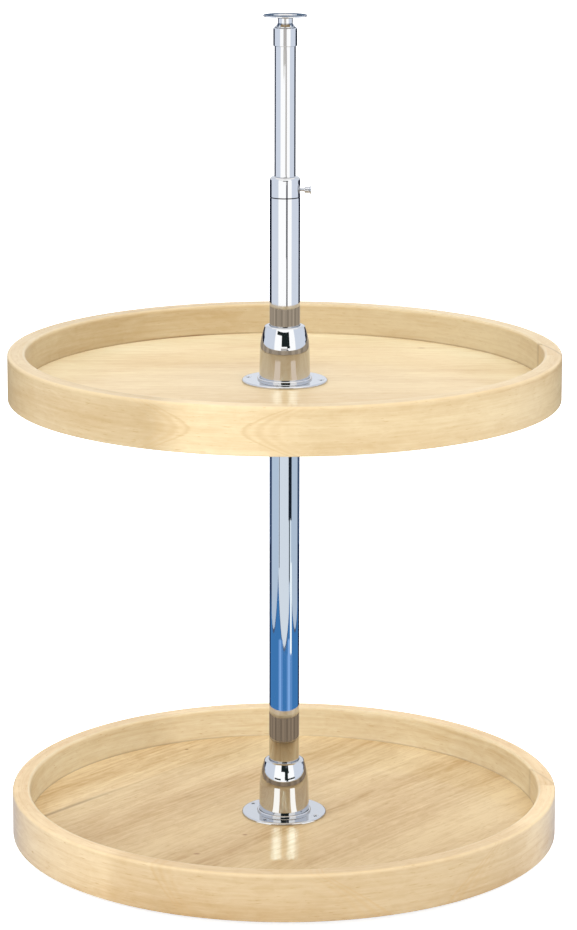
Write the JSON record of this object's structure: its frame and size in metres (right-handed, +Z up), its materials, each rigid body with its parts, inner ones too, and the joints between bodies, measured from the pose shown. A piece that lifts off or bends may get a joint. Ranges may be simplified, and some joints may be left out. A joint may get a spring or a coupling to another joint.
{
  "type": "rotating pantry shelf unit",
  "caption": "Turning shelf unit for a pantry cupboard: round maple trays with raised rims on bell hubs, which spin on a chromed telescoping post with floor and ceiling plates.",
  "frame": {"origin": "on the post's axis, on the underside of the floor plate", "axes": "+Z up along the post, +X towards the thumb screw's head, -Y towards the viewer of the picture"},
  "size_m": [0.508, 0.508, 0.7702],
  "materials": {
    "rim_maple": "clear satin lacquer",
    "floor_maple": "clear satin lacquer",
    "chrome": "polished chrome plate",
    "zinc_steel": "zinc plated",
    "nylon": "moulded nylon"
  },
  "bodies": {
    "post": {"floor_plate": "chrome", "floor_plug": "zinc_steel", "floor_plug_screw": "zinc_steel", "wide_tube": "chrome", "clamp_sleeve": "chrome"},
    "thumb_screw": {"thumb_screw": "chrome"},
    "mast": {"narrow_tube": "chrome", "slide_bush": "nylon", "ferrule": "chrome", "pin_bush": "nylon"},
    "ceiling_fitting": {"ceiling_spindle": "chrome", "ceiling_plate": "chrome"},
    "upper_carriage": {"upper_height_collar": "zinc_steel", "upper_grub_screw": "zinc_steel", "upper_thrust_washer": "nylon"},
    "upper_tray": {"upper_rim": "rim_maple", "upper_floor": "floor_maple", "upper_hub": "chrome", "upper_hub_screws": "chrome", "upper_hub_bush": "nylon"},
    "lower_carriage": {"lower_height_collar": "zinc_steel", "lower_grub_screw": "zinc_steel", "lower_thrust_washer": "nylon"},
    "lower_tray": {"lower_rim": "rim_maple", "lower_floor": "floor_maple", "lower_hub": "chrome", "lower_hub_screws": "chrome", "lower_hub_bush": "nylon"}
  },
  "joints": [
    {"name": "thumb_screw_turn", "type": "hinge", "parent": "post", "child": "thumb_screw", "pos_m": [0.018, 0, 0.6109], "axis": [1, 0, 0], "range_deg": [0, 540]},
    {"name": "mast_slide", "type": "slide", "parent": "post", "child": "mast", "axis": [0, 0, 1], "range_m": [-0.109, 0.0425]},
    {"name": "ceiling_turn", "type": "hinge", "parent": "mast", "child": "ceiling_fitting", "pos_m": [0, 0, 0.7591], "axis": [0, 0, 1], "continuous": true},
    {"name": "upper_height", "type": "slide", "parent": "post", "child": "upper_carriage", "axis": [0, 0, 1], "range_m": [-0.12, 0.08]},
    {"name": "upper_spin", "type": "hinge", "parent": "upper_carriage", "child": "upper_tray", "pos_m": [0, 0, 0.4331], "axis": [0, 0, 1], "continuous": true},
    {"name": "lower_height", "type": "slide", "parent": "post", "child": "lower_carriage", "axis": [0, 0, 1], "range_m": [0, 0.15]},
    {"name": "lower_spin", "type": "hinge", "parent": "lower_carriage", "child": "lower_tray", "pos_m": [0, 0, 0.0197], "axis": [0, 0, 1], "continuous": true}
  ]
}
